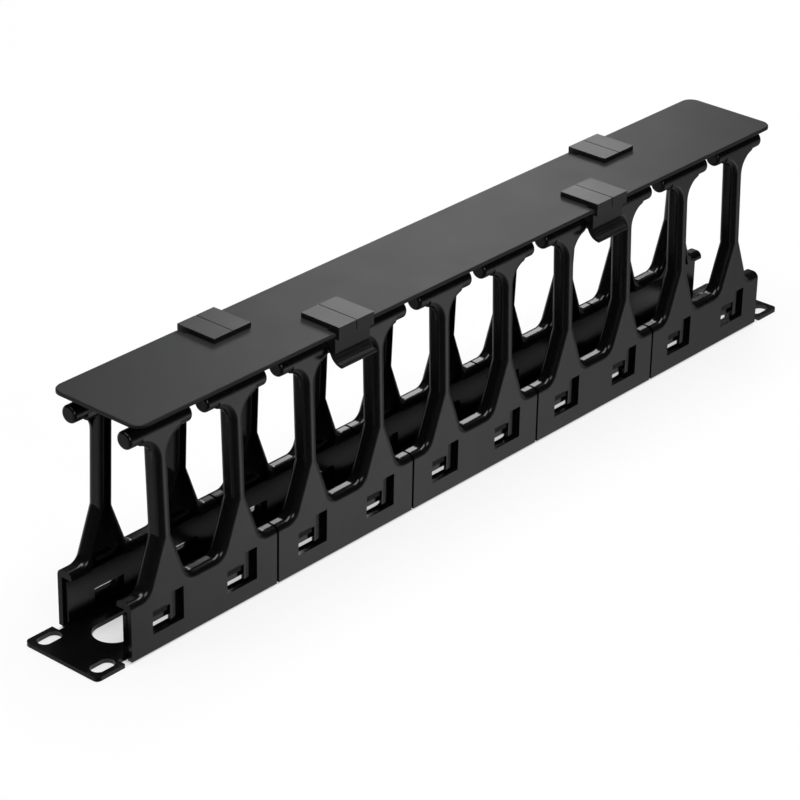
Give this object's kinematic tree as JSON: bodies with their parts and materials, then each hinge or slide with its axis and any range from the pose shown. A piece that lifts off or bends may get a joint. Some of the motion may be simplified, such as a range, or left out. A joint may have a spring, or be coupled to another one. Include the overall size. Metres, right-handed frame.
{
  "type": "horizontal cable manager",
  "caption": "Rack panel cable manager: a folded steel channel with two rows of flexible plastic fingers and a hinged cover held by clips.",
  "frame": {"origin": "middle of the back plate's underside, which rests on the rack rails", "axes": "+X along the rack width, +Y towards the back row of fingers (rack height direction), +Z away from the rack towards the cover"},
  "size_m": [0.4826, 0.0574, 0.1133],
  "materials": {
    "powder_coated_steel": "satin black powder coat",
    "finger_plastic": "semi-gloss black",
    "cover_plastic": "fine textured matte black",
    "clip_plastic": "smooth satin black"
  },
  "bodies": {
    "base": {"back_plate": "powder_coated_steel", "front_finger_module_1": "finger_plastic", "front_finger_module_2": "finger_plastic", "front_finger_module_3": "finger_plastic", "front_finger_module_4": "finger_plastic", "front_finger_module_5": "finger_plastic", "back_finger_module_1": "finger_plastic", "back_finger_module_2": "finger_plastic", "back_finger_module_3": "finger_plastic", "back_finger_module_4": "finger_plastic", "back_finger_module_5": "finger_plastic"},
    "cover_lid": {"cover": "cover_plastic", "front_left_cover_clip": "clip_plastic", "front_right_cover_clip": "clip_plastic", "back_left_cover_clip": "clip_plastic", "back_right_cover_clip": "clip_plastic"}
  },
  "joints": [
    {"name": "cover_hinge", "type": "hinge", "parent": "base", "child": "cover_lid", "pos_m": [0, 0.0163, 0.1013], "axis": [-1, 0, 0], "range_deg": [0, 100]}
  ]
}
